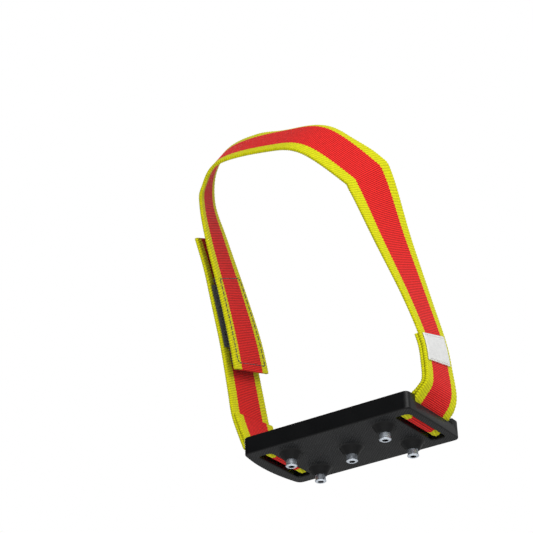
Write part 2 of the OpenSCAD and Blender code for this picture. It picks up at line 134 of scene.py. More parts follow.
# Camera, and in metres the floor and the soft boxes: place, size and power
PHOTO_PIXELS, FOCAL_PIXELS, SENSOR_WIDTH = 533, 1700, 36
CAMERA_PLACE = (303.3, -508.1, -245.4)
CAMERA_ANGLES = (33.66, -28.14, -2.05)
FLOOR_HEIGHT, FLOOR_RADIUS, FLOOR_SIDES = -0.6, 9, 64
LIGHT_TARGET, WINDOW_DIRECTION = (0, -0.01, 0.04), (0.9, 0.25, 0.35)
SOFT_BOXES = {
    "key": ((0.75, -0.4, 0.5), 0.6, 5.5),
    "fill_front": ((0.45, -0.8, 0.0), 0.5, 3.2),
    "rim_behind": ((-0.5, 0.6, 0.6), 0.6, 6.0),
}


def by_bar(up, out):
    """A place by the outer bar: so far up the strap's slope, and so far out of it towards the plate's end."""
    return np.array([BAR_X + up * math.cos(LEG_SLOPE) + out * math.sin(LEG_SLOPE), 0,
                     BAR_Z + up * math.sin(LEG_SLOPE) - out * math.cos(LEG_SLOPE)])


def across_instep(share):
    """How far out a place lies that is a share of the way from the outer shoulder to the inner one."""
    return OUTER_SHOULDER_X + (INNER_SHOULDER_X - OUTER_SHOULDER_X) * share


def inner_side(x):
    """Three places down the inner side, for the tail and the short strap at their own distance out."""
    return [
        [[x - 0.3, -15, 63], [-0.14, 0.9, 0.42]],
        [[x + 0.2, -8, 45], [-0.06, 0.95, 0.32]],
        [[x + 0.5, -3.6, 28], [-0.03, 0.97, 0.24]],
    ]


# Places of each strap's middle, with the direction of its width
KNEE = by_bar(OUTER_LEG - 0.2, WRAP_RADIUS)
LONG_ROUTE = np.array([
    [KNEE, [0, 1, 0]],
    [KNEE + [1.95, -0.2, 4.1], [-0.06, 1, 0.1]],
    [[OUTER_SIDE_X + 2.9, -1.1, 14], [-0.1, 1, 0.23]],
    [[OUTER_SIDE_X + 2.5, -2.9, 24.5], [-0.11, 0.98, 0.31]],
    [[OUTER_SIDE_X - 0.3, -7.9, 41.8], [-0.05, 0.95, 0.35]],
    [[OUTER_SIDE_X - 3.9, -16.3, OUTER_SHOULDER_HEIGHT - 24], [0.1, 0.9, 0.45]],
    [[OUTER_SHOULDER_X + 0.3, -25.2, OUTER_SHOULDER_HEIGHT - 3.4], [0.28, 0.76, 0.59]],
    [[across_instep(0.03), -28.8, OUTER_SHOULDER_HEIGHT + 2.6], [0.3, 0.72, 0.63]],
    [[across_instep(0.21), 1.6 - FORWARD_LEAN, INSTEP_HEIGHT - 7], [0.26, 0.65, 0.72]],
    [[across_instep(0.45), 0.8 - FORWARD_LEAN, INSTEP_HEIGHT - 1.2], [0.1, 0.66, 0.74]],
    [[across_instep(0.77), -0.4 - FORWARD_LEAN, INSTEP_HEIGHT + 0.4], [-0.05, 0.67, 0.74]],
    [[across_instep(0.93), 3 - FORWARD_LEAN, INNER_SHOULDER_HEIGHT + 8], [-0.17, 0.64, 0.75]],
    [[INNER_SHOULDER_X, -32, INNER_SHOULDER_HEIGHT], [-0.31, 0.79, 0.53]],
    [[INNER_SHOULDER_X - 0.8, -25, INNER_SHOULDER_HEIGHT - 13.5], [-0.23, 0.86, 0.45]],
    *inner_side(INNER_SHOULDER_X),
], float)
SHORT_ROUTE = np.array([
    [[SHORT_X - 1.2, -25.5, 88], [-0.2, 0.88, 0.42]],
    [[SHORT_X - 0.6, -19.6, 75], [-0.18, 0.91, 0.37]],
    *inner_side(SHORT_X),
    [[SHORT_X + 1.2, -1.2, 15], [0, 1, 0.1]],
    [[-INNER_FOLD_X - 3, -0.2, FOLD_Z + 7], [0, 1, 0.05]],
    [[-INNER_FOLD_X - 0.7, 0, FOLD_Z - 0.2], [0, 1, 0]],
], float)
LAST_SHORT_MARK = len(SHORT_ROUTE) - 1


# Straps as paths

def smooth_curve(route, marks):
    """Points of a curve through a route's places: between two places, the cubic whose slopes follow
    their neighbours."""
    i = np.clip(np.floor(marks).astype(int), 0, len(route) - 2)
    t = (marks - i).reshape(-1, *[1] * (route.ndim - 1))
    a, b, c, d = (route[np.clip(i + k, 0, len(route) - 1)] for k in (-1, 0, 1, 2))
    return b + ((c - a) * t + (2 * a - 5 * b + 4 * c - d) * t**2 + (3 * b - a - 3 * c + d) * t**3) / 2


def lengths(middle):
    """Distance along a line of points: the sum of the steps up to each point."""
    return np.concatenate([[0], np.cumsum(np.linalg.norm(np.diff(middle, axis=0), axis=1))])


def framed(mark, middle, width):
    """A strap's path: at each point, the vector across it, whose part square to the run is 1 long,
    and the unit vector out of its face, which is square to the run and the width."""
    run = np.gradient(middle, axis=0)
    run /= np.linalg.norm(run, axis=1, keepdims=True)
    square = width - (width * run).sum(1, keepdims=True) * run
    out = np.cross(width, run)
    return {
        "mark": mark, "middle": middle, "length": lengths(middle),
        "across": width / np.linalg.norm(square, axis=1, keepdims=True),
        "out": out / np.linalg.norm(out, axis=1, keepdims=True),
    }


def routed(route, marks, offset=0.0):
    """Marks, middles and widths along a route, moved out of its face by an offset."""
    middle, width = smooth_curve(route, marks).swapaxes(0, 1)
    return marks, middle + framed(marks, middle, width)["out"] * offset, width


def outer_loop():
    """Line of the long strap down its upper leg, which leaves the outer bar on a tangent, round the bar
    and straight up the slope of its lower leg."""
    upper_out = WRAP_RADIUS + RETURN_OFFSET
    tangent = math.acos(WRAP_RADIUS / math.hypot(LOOP_LEG, upper_out)) - math.atan2(upper_out, LOOP_LEG)
    turn = np.linspace(LEG_SLOPE + tangent, LEG_SLOPE + 1.5 * math.pi, TURN_POINTS)
    round_bar = np.stack([BAR_X + WRAP_RADIUS * np.cos(turn), 0 * turn,
                          BAR_Z + WRAP_RADIUS * np.sin(turn)], 1)
    return np.concatenate([[by_bar(LOOP_LEG, upper_out)], round_bar, [by_bar(LOOP_LEG, WRAP_RADIUS)]])


def inner_loop():
    """Line of the short strap over the plate's inner end, along its lower leg, round the inner bar and out by
    its upper leg: a smooth curve through places in the outer loop's half, mirrored to the inner one."""
    turn = np.radians(np.arange(-10, -271, -20))
    lower = [(INNER_FOLD_X + 0.85, -1.0), (INNER_FOLD_X - 0.1, -1.72), (INNER_FOLD_X - 1.4, LOWER_LEG_Z),
             (SLOT_OUTER_X + 0.6, LOWER_LEG_Z), (SLOT_OUTER_X - 0.75, LOWER_LEG_Z - 0.35)]
    round_bar = np.stack([BAR_X + WRAP_RADIUS * np.cos(turn), BAR_Z + WRAP_RADIUS * np.sin(turn)], 1)
    upper = [(SLOT_OUTER_X - 0.75, UPPER_LEG_Z - 0.35), (SLOT_OUTER_X + 0.6, UPPER_LEG_Z),
             (INNER_FOLD_X - 1.5, UPPER_LEG_Z), (INNER_FOLD_X - 0.55, UPPER_LEG_Z + 0.4)]
    line = np.concatenate([lower, round_bar, upper])
    line = smooth_curve(line, np.linspace(0, len(line) - 1, LOOP_POINTS))
    return np.stack([-line[:, 0], 0 * line[:, 0], line[:, 1]], 1)


def joined(parts):
    """One path through several parts: points at even steps of length, each the mean of its neighbours,
    so that the parts meet without a kink."""
    mark, middle, width = (np.concatenate(group) for group in zip(*parts))
    along = lengths(middle)
    at = np.arange(0, along[-1], PATH_STEP)
    table = np.concatenate([middle, width], 1)
    table = np.stack([np.interp(at, along, column) for column in table.T], 1)
    padded = np.pad(table, ((PATH_SOFTENING, PATH_SOFTENING), (0, 0)), mode="reflect", reflect_type="odd")
    window = 2 * PATH_SOFTENING + 1
    table = np.stack([np.convolve(column, np.full(window, 1 / window), "valid") for column in padded.T], 1)
    return framed(np.interp(at, along, mark), table[:, :3], table[:, 3:])


def looped(line, first_mark, last_mark):
    """A loop round a bar as a part of a path: even marks along its line, and its width along the bar."""
    return np.linspace(first_mark, last_mark, len(line)), line, np.tile([0.0, 1.0, 0.0], (len(line), 1))


def long_strap_path():
    """From the top of the returned end down to the plate, round the outer bar, up the outer side and over
    to the tail. Marks are those of the route, negative on the returned end."""
    back_at = np.linspace(LIP_JOIN, LABEL_MARK + RETURN_SPARE, RETURN_POINTS)
    back_marks, back, back_width = routed(LONG_ROUTE, back_at, RETURN_OFFSET)
    return joined([
        (-back_marks[::-1], back[::-1], back_width[::-1]),
        looped(outer_loop(), -LIP_JOIN, LIP_JOIN),
        routed(LONG_ROUTE, np.linspace(LIP_JOIN, len(LONG_ROUTE) - 1, LONG_POINTS)),
    ])


def short_strap_path():
    """From the top of the pull tab down the inner side, round the inner bar and up the returned end.
    Marks are those of the route, and count on past its last place on the returned end."""
    last = LAST_SHORT_MARK
    back_at = np.linspace(SHORT_RETURN_MARK, last - LIP_JOIN, RETURN_POINTS)
    back_marks, back, back_width = routed(SHORT_ROUTE, back_at, RETURN_OFFSET)
    return joined([
        routed(SHORT_ROUTE, np.linspace(0, last - LIP_JOIN, SHORT_POINTS)),
        looped(inner_loop(), last - LIP_JOIN, last + LIP_JOIN),
        (2 * last - back_marks[::-1], back[::-1], back_width[::-1]),
    ])


def length_at(path, mark):
    """Length along a path at a mark."""
    return float(np.interp(mark, path["mark"], path["length"]))


def mark_at(path, length):
    """Mark at a length along a path."""
    return float(np.interp(length, path["length"], path["mark"]))


def length_at_height(path, height, after):
    """Length at which a path that falls beyond a mark has come down to a height."""
    falls = path["mark"] >= after
    return float(np.interp(-height, -path["middle"][falls, 2], path["length"][falls]))


def on_strap(path, at, aside, height):
    """Points on a strap: its middle at a length, moved aside across it and up out of its face."""
    middle, across, out = (
        np.stack([np.interp(at, path["length"], column) for column in path[key].T], -1)
        for key in ("middle", "across", "out")
    )
    return middle + across * np.asarray(aside)[..., None] + out * np.asarray(height)[..., None]


# Meshes

def linked(name, data):
    """A new object in the scene, from a mesh, a lamp or a camera."""
    made = bpy.data.objects.new(name, data)
    bpy.context.scene.collection.objects.link(made)
    return made


def tubes(name, points, finish, weave=None):
    """A mesh of closed tubes: points has the shape (tubes, rows, columns, 3), where columns go round a tube
    and rows along it. Each cell of the grid is a quad, and a flat face closes each end of a tube. Where the
    volume, the sum of the tetrahedra from the middle to each face, is negative, the faces are turned
    round."""
    points = np.asarray(points, float)
    count, rows, columns = points.shape[:3]
    index = np.arange(count * rows * columns).reshape(count, rows, columns)
    beside = np.roll(index, -1, axis=2)
    quads = np.stack([index[:, :-1], beside[:, :-1], beside[:, 1:], index[:, 1:]], -1).reshape(-1, 4)
    ends = np.concatenate([index[:, 0, ::-1], index[:, -1]])
    flat = points.reshape(-1, 3)
    a, b, c, d = (flat[quads[:, k]] - flat.mean(0) for k in range(4))
    if (np.cross(a, b) * c + np.cross(a, c) * d).sum() < 0:
        quads, ends = quads[:, ::-1], ends[:, ::-1]
    corners = np.concatenate([quads.ravel(), ends.ravel()])
    starts = np.concatenate([np.arange(len(quads)) * 4, quads.size + np.arange(len(ends)) * columns])
    mesh = bpy.data.meshes.new(name)
    mesh.vertices.add(len(flat))
    mesh.vertices.foreach_set("co", (flat * MM).ravel())
    mesh.loops.add(len(corners))
    mesh.loops.foreach_set("vertex_index", corners.astype(np.int32))
    mesh.polygons.add(len(starts))
    mesh.polygons.foreach_set("loop_start", starts.astype(np.int32))
    if weave is not None:
        layer = mesh.attributes.new("weave", "FLOAT_VECTOR", "POINT")
        layer.data.foreach_set("vector", weave.reshape(-1).astype(np.float32))
    mesh.update(calc_edges=True)
    mesh.validate()
    mesh.shade_smooth()
    mesh.set_sharp_from_angle(angle=SMOOTH_UNDER)
    mesh.materials.append(finish)
    return linked(name, mesh)


def band_profile(face_points, edge_radius, half_width):
    """Outline of a flat band, as places aside and heights from -1 to 1: out along the upper face, round one
    edge, back along the lower face and round the other edge."""
    flat = np.linspace(-1, 1, face_points) * (half_width - edge_radius)
    turn = np.linspace(math.pi / 2, -math.pi / 2, EDGE_POINTS + 2)[1:-1]
    aside = np.concatenate([flat, half_width - edge_radius + edge_radius * np.cos(turn), flat[::-1],
                            edge_radius - half_width - edge_radius * np.cos(turn)])
    height = np.concatenate([np.ones(face_points), np.sin(turn), -np.ones(face_points), -np.sin(turn)])
    return aside, height


def webbing(name, path, low, high, finish, curl_marks=None):
    """A length of ribbed webbing: a flat band carried along the strap's path. Its half thickness falls by a
    raised cosine between ribs, which are fine in the middle, and coarser and slanting in the borders, whose
    edges are wavy in step. Between curl marks one border turns down, by the square of the distance past
    where that begins."""
    at = np.linspace(low, high, int((high - low) / RIB_STEP) + 2)
    aside, height = band_profile(WEBBING_FACE_POINTS, WEBBING_EDGE_RADIUS, HALF_WIDTH)
    length, aside = at[:, None], aside[None]
    past_edge = np.abs(aside) - HALF_WIDTH
    border = np.clip((past_edge + BORDER_WIDTH + BORDER_BLEND / 2) / BORDER_BLEND, 0, 1)
    middle_rib = 0.5 - 0.5 * np.cos(2 * math.pi * length / RED_RIB_PITCH)
    border_rib = 0.5 - 0.5 * np.cos(2 * math.pi * (length + BORDER_SLANT * aside) / BORDER_RIB_PITCH)
    drop = RED_RIB_DEPTH * middle_rib * (1 - border) + BORDER_RIB_DEPTH * border_rib * border
    narrow = EDGE_WAVE_DEPTH * border_rib * np.clip((past_edge + EDGE_WAVE_REACH) / EDGE_WAVE_REACH, 0, 1)
    level = height[None] * (FACE - drop)
    if curl_marks:
        eased = np.interp(length, [length_at(path, mark) for mark in curl_marks], (0, 1, 1, 0))
        beyond = np.clip((aside - CURL_FROM) / (HALF_WIDTH - CURL_FROM), 0, 1)
        level = level - CURL_DEPTH * eased**2 * (3 - 2 * eased) * beyond**2
    length, wide = np.broadcast_to(length, drop.shape), np.broadcast_to(aside, drop.shape)
    points = on_strap(path, length, aside - np.sign(aside) * narrow, level)
    return tubes(name, points[None], finish, np.stack([wide, length, 0 * drop], -1))


def sewn_band(name, path, low, high, width, base, thickness, finish, crown=0.0, shift=0.0):
    """A smooth band on a strap's face, from base to base + thickness out of its middle surface. Its outer
    face rises by a crown, which falls away to nothing at its four edges, and a shift puts it off the strap's
    middle."""
    at = np.linspace(low, high, int((high - low) / BAND_STEP) + 2)
    aside, height = band_profile(BAND_FACE_POINTS, min(BAND_EDGE_RADIUS, abs(thickness) / 2), width / 2)
    from_ends = np.clip(np.minimum(at - low, high - at) / CROWN_REACH, 0, 1)[:, None]
    inward = from_ends * np.clip((width / 2 - np.abs(aside)) / CROWN_REACH, 0, 1)
    level = base + thickness * (1 + height[None]) / 2
    level = level + math.copysign(crown, thickness) * inward * (height[None] > 0)
    length, wide = np.broadcast_to(at[:, None], level.shape), np.broadcast_to(aside, level.shape)
    points = on_strap(path, length, wide + shift, level)
    return tubes(name, points[None], finish, np.stack([wide, length, 0 * level], -1))


def stitches(name, path, seams, level, finish, pitch=STITCH_PITCH):
    """Rows of stitches on a strap's face. A seam is a line through corners, each a length and a place aside,
    and every stitch is a thread that rises out of the cloth and dips back into it as a half wave."""
    starts, stops = [], []
    for seam in seams:
        seam = np.array(seam, float)
        along = lengths(seam)
        at = np.linspace(0, along[-1], max(2, int(along[-1] / pitch) + 1))
        line = np.stack([np.interp(at, along, column) for column in seam.T], 1)
        starts.append(line[:-1] + STITCH_GAP_SHARE * np.diff(line, axis=0))
        stops.append(line[1:] - STITCH_GAP_SHARE * np.diff(line, axis=0))
    starts, stops = np.concatenate(starts), np.concatenate(stops)
    share = np.linspace(0, 1, STITCH_POINTS)[None, :, None]
    line = starts[:, None] * (1 - share) + stops[:, None] * share
    side = math.copysign(1, level)
    rise = level + side * (STITCH_RISE * np.sin(math.pi * share[..., 0]) - STITCH_SINK)
    rise = np.broadcast_to(rise, line.shape[:2])
    middle = on_strap(path, line[..., 0], line[..., 1], rise)
    run = np.gradient(middle, axis=1)
    run /= np.linalg.norm(run, axis=2, keepdims=True)
    up = on_strap(path, line[..., 0], line[..., 1], rise + side) - middle
    sideways = np.cross(up, run)
    turn = np.linspace(0, 2 * math.pi, THREAD_SIDES, endpoint=False)
    ring = sideways[:, :, None] * np.cos(turn)[:, None] + up[:, :, None] * np.sin(turn)[:, None]
    return tubes(name, middle[:, :, None] + STITCH_RADIUS * ring, finish)


def frame_of_stitches(low, high, half):
    """One seam round an oblong, from its lower corner along all four sides."""
    return [[(low, -half), (low, half), (high, half), (high, -half), (low, -half)]]


def threads(name, middle, radius, finish):
    """Round threads along lines of points: at each point, a ring of points square to the line."""
    run = np.gradient(middle, axis=1)
    run /= np.linalg.norm(run, axis=2, keepdims=True)
    side = np.cross(run, ASKEW)
    side /= np.linalg.norm(side, axis=2, keepdims=True)
    other = np.cross(run, side)
    turn = np.linspace(0, 2 * math.pi, THREAD_SIDES, endpoint=False)[:, None]
    ring = side[:, :, None] * np.cos(turn) + other[:, :, None] * np.sin(turn)
    return tubes(name, middle[:, :, None] + radius * ring, finish)


def patch_grid(low, high, margins, pitch):
    """Lengths and places aside in even rows on a patch, inside its margins along and across."""
    along, across = margins
    return np.meshgrid(np.arange(low + along, high - along, pitch),
                       np.arange(across - PATCH_WIDTH / 2, PATCH_WIDTH / 2 - across, pitch), indexing="ij")


def loop_pile(name, path, low, high, level, finish):
    """Loop pile: a field of small arches of thread, half rings that stand on the tape, turned at random."""
    rng = np.random.default_rng(PILE_SEED)
    at, aside = patch_grid(low, high, PILE_MARGINS, PILE_PITCH)
    at = (at + rng.uniform(-PILE_SPREAD, PILE_SPREAD, at.shape)).ravel()[:, None]
    aside = (aside + rng.uniform(-PILE_SPREAD, PILE_SPREAD, aside.shape)).ravel()[:, None]
    heading = rng.uniform(0, math.pi, at.shape)
    tall = rng.uniform(*PILE_HEIGHTS, at.shape)
    arch = np.linspace(-PILE_ARCH_DIP, math.pi + PILE_ARCH_DIP, ARCH_POINTS)[None]
    reach = PILE_ARCH_RADIUS * np.cos(arch)
    middle = on_strap(path, at + reach * np.cos(heading), aside + reach * np.sin(heading),
                      level + tall * np.sin(arch))
    return threads(name, middle, PILE_THREAD_RADIUS, finish)


def hook_field(name, path, low, high, level, finish):
    """Hooks of the hook tape: rows of stems that rise from the tape and bend over at the top, to one side and
    the other by turns. Each point of a stem has a rise, and leans by the bend's radius times 1 less the
    cosine of the angle that the stem has turned through."""
    at, aside = (places.ravel()[:, None] for places in patch_grid(low, high, HOOK_MARGINS, HOOK_PITCH))
    bend = np.array([0, 0, 0.35, 0.8, 1.3, 1.9])[None]
    rise = np.array([-0.1, 0.3, 0.5, 0.62, 0.66, 0.56])[None]
    lean = HOOK_BEND_RADIUS * (1 - np.cos(bend)) * np.where(np.arange(len(at)) % 2, 1, -1)[:, None]
    middle = on_strap(path, at + lean, aside + 0 * lean, level - rise + 0 * lean)
    return threads(name, middle, HOOK_THREAD_RADIUS, finish)


# Plate and studs

def moulded_plate(finish):
    """The frame's plate with softened edges: its faces are merged back into one skin, and a sharp edge is
    rounded where both its ends lie level with the top, the floor or the tips of the bosses."""
    skin = bmesh.new()
    skin.from_mesh(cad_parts["sole_plate"].data)
    bmesh.ops.remove_doubles(skin, verts=skin.verts, dist=MERGE_DISTANCE * MM)
    bmesh.ops.dissolve_limit(skin, angle_limit=FLAT_WITHIN, verts=skin.verts, edges=skin.edges)
    rounding = skin.edges.layers.float.new("bevel_weight_edge")
    for edge in skin.edges:
        ends = {round(end.co.z / MM, 2) for end in edge.verts}
        if len(ends) == 1 and edge.calc_face_angle(0) > SHARP_OVER:
            edge[rounding] = EDGE_SHARES.get(ends.pop() + 0.0, 0.0)
    mesh = bpy.data.meshes.new("moulded_plate")
    skin.to_mesh(mesh)
    skin.free()
    mesh.shade_smooth()
    mesh.materials.clear()
    mesh.materials.append(finish)
    made = linked("moulded_plate", mesh)
    edges = made.modifiers.new("softened_edges", "BEVEL")
    edges.width = EDGE_RADIUS * MM
    edges.segments = EDGE_SEGMENTS
    edges.limit_method = "WEIGHT"
    edges.use_clamp_overlap = False
    flat = made.modifiers.new("flat_faces", "WEIGHTED_NORMAL")
    flat.keep_sharp = True
    return made


def stud(name, place, finish):
    """A screwed-in stud as a turned profile, carried round its axis: from the floor of the hex socket down
    its wall, over the chamfer and the flared rim, and up the body. Each row of the profile has a radius, a
    height, and how far the radius is that of a hexagon, which is the flat's distance over the cosine of the
    angle from it."""
    tip, top, rim, body = STUD_TIP, STUD_TOP, STUD_RIM_RADIUS, STUD_RADIUS
    skin = np.array([
        (0.05, tip + 1.5, 0), (0.5, tip + 1.38, 0.6), (0.97, tip + 1.3, 1),
        (0.99, tip + 0.8, 1), (1.0, tip + 0.2, 1), (1.05, tip + 0.12, 0.9),
        (1.22, tip + 0.02, 0.1), (1.28, tip, 0), (rim - 0.5, tip, 0), (rim - 0.44, tip + 0.02, 0),
        (rim - 0.06, tip + 0.26, 0), (rim, tip + 0.34, 0), (rim, tip + 0.5, 0), (rim - 0.03, tip + 0.58, 0),
        (body + 0.03, tip + 0.76, 0), (body, tip + 0.84, 0), (body, top - 0.2, 0), (body - 0.2, top, 0),
        (0.05, top, 0),
    ])
    turn = np.linspace(0, 2 * math.pi, STUD_SIDES, endpoint=False)[None]
    radius, height, hexed = (skin[:, k, None] for k in range(3))
    hexagon = 1 / np.cos((turn + math.pi / 6) % (math.pi / 3) - math.pi / 6)
    reach = radius * (1 + hexed * (hexagon - 1))
    points = np.stack([place[0] + reach * np.cos(turn), place[1] + reach * np.sin(turn),
                       height + 0 * turn], -1)
    # Rows in the socket get weave 1, where the steel is painted near black as painted shade
    inside = np.broadcast_to((np.arange(len(skin)) < SOCKET_ROWS)[:, None, None], points.shape)
    return tubes(name, points[None], finish, inside)


# Materials

def linear(colour):
    """Linear red, green and blue of an sRGB hex value: each c is ((c + 0.055) / 1.055) ** 2.4,
    or c / 12.92 when small."""
    c = np.array([int(colour[k:k + 2], 16) for k in (1, 3, 5)]) / 255
    return (*np.where(c > 0.04045, ((c + 0.055) / 1.055) ** 2.4, c / 12.92).tolist(), 1.0)


def add(tree, kind, inputs=None, **settings):
    """Adds a node with its settings. An input that is a socket is linked, and any other is set as a value.
    By number, a Mix has its factor at 0, and takes numbers at 2 and 3 and gives output 0, or takes colours at
    6 and 7 and gives output 2. Map Range has its value at 0, and goes from the range at 1 and 2 to the one at
    3 and 4."""
    node = tree.nodes.new("ShaderNode" + kind)
    for name, value in settings.items():
        setattr(node, name, value)
    for name, value in (inputs or {}).items():
        if isinstance(value, bpy.types.NodeSocket):
            tree.links.new(value, node.inputs[name])
        else:
            node.inputs[name].default_value = value
    return node


def material(name):
    """A new material with an empty node tree."""
    made = bpy.data.materials.new(name)
    made.use_nodes = True
    made.node_tree.nodes.clear()
    return made, made.node_tree


def ended(made, tree, shader):
    """A material whose surface is the shader's."""
    add(tree, "OutputMaterial", {"Surface": shader.outputs[0]})
    return made


def polyester_webbing():
    """Narrow fabric of filament polyester, woven with dyed warps: matt, with a soft sheen, ribbed across,
    its hollows painted darker than its ribs as painted shade, and a slightly toothed line where the red
    warps meet the yellow-green ones."""
    made, tree = material("polyester_webbing_woven")
    weave = add(tree, "Attribute", attribute_name="weave")
    place = add(tree, "SeparateXYZ", {0: weave.outputs["Vector"]})
    aside, length = place.outputs[0], place.outputs[1]
    from_middle = add(tree, "Math", {0: aside}, operation="ABSOLUTE")
    # At every other rib a tooth of red reaches into the border, and between them the border into the red
    tooth_turn = add(tree, "Math", {0: length, 1: math.pi / RED_RIB_PITCH}, operation="MULTIPLY")
    tooth = add(tree, "Math", {0: tooth_turn.outputs[0]}, operation="SINE")
    toothed = add(tree, "Math", {0: tooth.outputs[0], 1: TOOTH_REACH, 2: from_middle.outputs[0]},
                  operation="MULTIPLY_ADD")
    edge = HALF_WIDTH - BORDER_WIDTH
    border = add(tree, "MapRange", {0: toothed.outputs[0], 1: edge - TOOTH_BLUR, 2: edge + TOOTH_BLUR})
    red_turn = add(tree, "Math", {0: length, 1: 2 * math.pi / RED_RIB_PITCH}, operation="MULTIPLY")
    red_rib = add(tree, "Math", {0: red_turn.outputs[0]}, operation="COSINE")
    red_rib_painted_shade = add(tree, "MapRange", {0: red_rib.outputs[0], 1: -1.0, 2: 1.0})
    slanted = add(tree, "Math", {0: aside, 1: BORDER_SLANT, 2: length}, operation="MULTIPLY_ADD")
    border_turn = add(tree, "Math", {0: slanted.outputs[0], 1: 2 * math.pi / BORDER_RIB_PITCH},
                      operation="MULTIPLY")
    border_rib = add(tree, "Math", {0: border_turn.outputs[0]}, operation="COSINE")
    border_rib_painted_shade = add(tree, "MapRange", {0: border_rib.outputs[0], 1: -1.0, 2: 1.0})
    # Painted shade: the hollows between ribs take the darker red and yellow-green, the crests the lighter
    # ones
    red = add(tree, "Mix", {0: red_rib_painted_shade.outputs[0], 6: linear("#880c0c"), 7: linear("#f42724")},
              data_type="RGBA")
    yellow = add(tree, "Mix", {0: border_rib_painted_shade.outputs[0], 6: linear("#b2b004"), 7: linear("#d2d106")},
                 data_type="RGBA")
    dyed = add(tree, "Mix", {0: border.outputs[0], 6: red.outputs[2], 7: yellow.outputs[2]}, data_type="RGBA")
    # Yarns lie along the strap, and their fibres scatter the light unevenly
    yarns = add(tree, "Mapping", {0: weave.outputs["Vector"], "Scale": (1 / YARN_WIDTH, 0.6, 1.0)})
    fibres = add(tree, "TexNoise", {"Vector": yarns.outputs[0], "Scale": 1.0, "Detail": 3.0})
    uneven = add(tree, "MapRange", {0: fibres.outputs[0], 1: 0.3, 2: 0.7, 3: 0.82, 4: 1.08})
    coloured = add(tree, "Mix", {0: 1.0, 6: dyed.outputs[2], 7: uneven.outputs[0]},
                   data_type="RGBA", blend_type="MULTIPLY")
    grain = add(tree, "Bump", {"Strength": 0.35, "Distance": 0.08 * MM, "Height": fibres.outputs[0]})
    shader = add(tree, "BsdfPrincipled", {
        "Base Color": coloured.outputs[2], "Roughness": 0.8, "Specular IOR Level": 0.15, "Sheen Weight": 0.03,
        "Normal": grain.outputs[0]})
    return ended(made, tree, shader)


def satin_label():
    """Fine damask of bright polyester: off-white, with a satin gloss and faint soil in patches of about 3 mm.
    Its threads are about 0.2 mm apart, drawn twice as coarse so that they show."""
    made, tree = material("polyester_label_satin_woven")
    weave = add(tree, "Attribute", attribute_name="weave")
    rows = add(tree, "TexWave", {"Vector": weave.outputs["Vector"], "Scale": WAVE_LENGTH / LABEL_THREAD_PITCH,
                                 "Distortion": 0.4}, bands_direction="Y")
    soil = add(tree, "TexNoise", {"Vector": weave.outputs["Vector"], "Scale": 0.35, "Detail": 4.0})
    shade = add(tree, "Mix", {0: rows.outputs["Fac"], 6: linear("#c4c5c5"), 7: linear("#dededc")},
                data_type="RGBA")
    toned = add(tree, "MapRange", {0: soil.outputs[0], 1: 0.3, 2: 0.7, 3: 0.93, 4: 1.03})
    colour = add(tree, "Mix", {0: 1.0, 6: shade.outputs[2], 7: toned.outputs[0]},
                 data_type="RGBA", blend_type="MULTIPLY")
    bump = add(tree, "Bump", {"Strength": 0.4, "Distance": 0.04 * MM, "Height": rows.outputs["Fac"]})
    shader = add(tree, "BsdfPrincipled", {
        "Base Color": colour.outputs[2], "Roughness": 0.42, "Sheen Weight": 0.15, "Normal": bump.outputs[0]})
    return ended(made, tree, shader)


def sewing_thread(name, colour):
    """Twisted polyester sewing thread: matt, with a soft sheen, and lighter and darker about every 0.4 mm,
    as its plies turn to the light and away."""
    made, tree = material(name)
    where = add(tree, "TexCoord")
    plies = add(tree, "TexNoise", {"Vector": where.outputs["Object"], "Scale": 1 / (0.4 * MM), "Detail": 2.0})
    tone = add(tree, "MapRange", {0: plies.outputs[0], 1: 0.3, 2: 0.7, 3: 0.75, 4: 1.05})
    dyed = add(tree, "Mix", {0: 1.0, 6: linear(colour), 7: tone.outputs[0]},
               data_type="RGBA", blend_type="MULTIPLY")
    shader = add(tree, "BsdfPrincipled", {
        "Base Color": dyed.outputs[2], "Roughness": 0.65, "Sheen Weight": 0.2})
    return ended(made, tree, shader)


def nylon_tape(name, light, dark, pitch):
    """Black nylon of a hook and loop closure: woven, with a soft sheen, and paler where fibres catch the
    light, in patches as wide as the pitch."""
    made, tree = material(name)
    where = add(tree, "TexCoord")
    fibres = add(tree, "TexNoise", {"Vector": where.outputs["Object"], "Scale": 1 / (pitch * MM),
                                    "Detail": 5.0})
    shade = add(tree, "Mix", {0: fibres.outputs[0], 6: linear(dark), 7: linear(light)}, data_type="RGBA")
    bump = add(tree, "Bump", {"Strength": 0.5, "Distance": 0.1 * MM, "Height": fibres.outputs[0]})
    shader = add(tree, "BsdfPrincipled", {
        "Base Color": shade.outputs[2], "Roughness": 0.6, "Sheen Weight": 0.3, "Normal": bump.outputs[0]})
    return ended(made, tree, shader)


